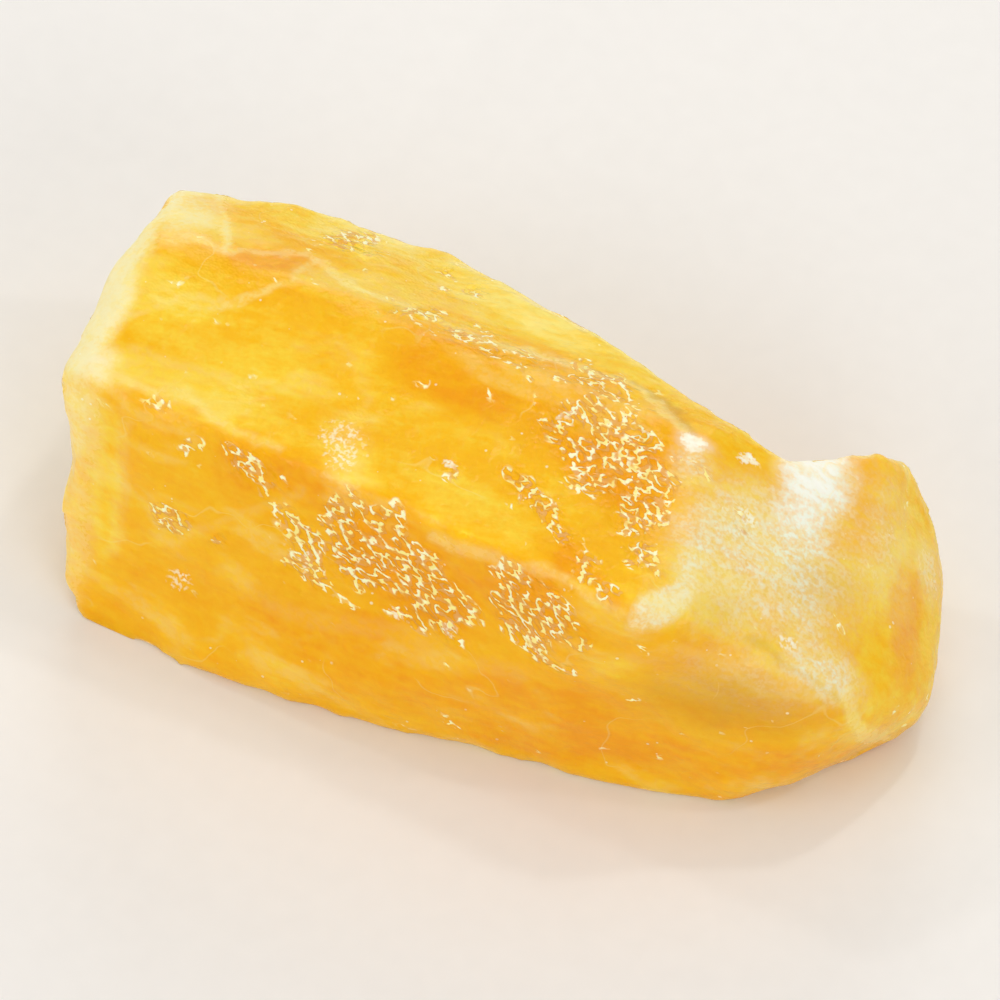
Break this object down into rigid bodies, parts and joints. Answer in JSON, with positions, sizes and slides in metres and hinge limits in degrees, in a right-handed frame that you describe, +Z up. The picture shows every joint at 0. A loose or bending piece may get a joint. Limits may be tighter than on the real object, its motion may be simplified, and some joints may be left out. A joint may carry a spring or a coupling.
{
  "type": "yellow calcite chunk",
  "caption": "Rough, elongated chunk of translucent yellow calcite, broken along its cleavage, with a flat face to rest on.",
  "frame": {"origin": "centre of the bounding box, on the resting face", "axes": "+X along the chunk towards the cloudy end lobe, -Y towards the tall front face, +Z up from the resting face"},
  "size_m": [0.0444, 0.0226, 0.016],
  "materials": {
    "calcite": "translucent, glassy on cleavage faces and frosted along broken edges"
  },
  "bodies": {
    "root": {"calcite_chunk": "calcite"}
  },
  "joints": []
}
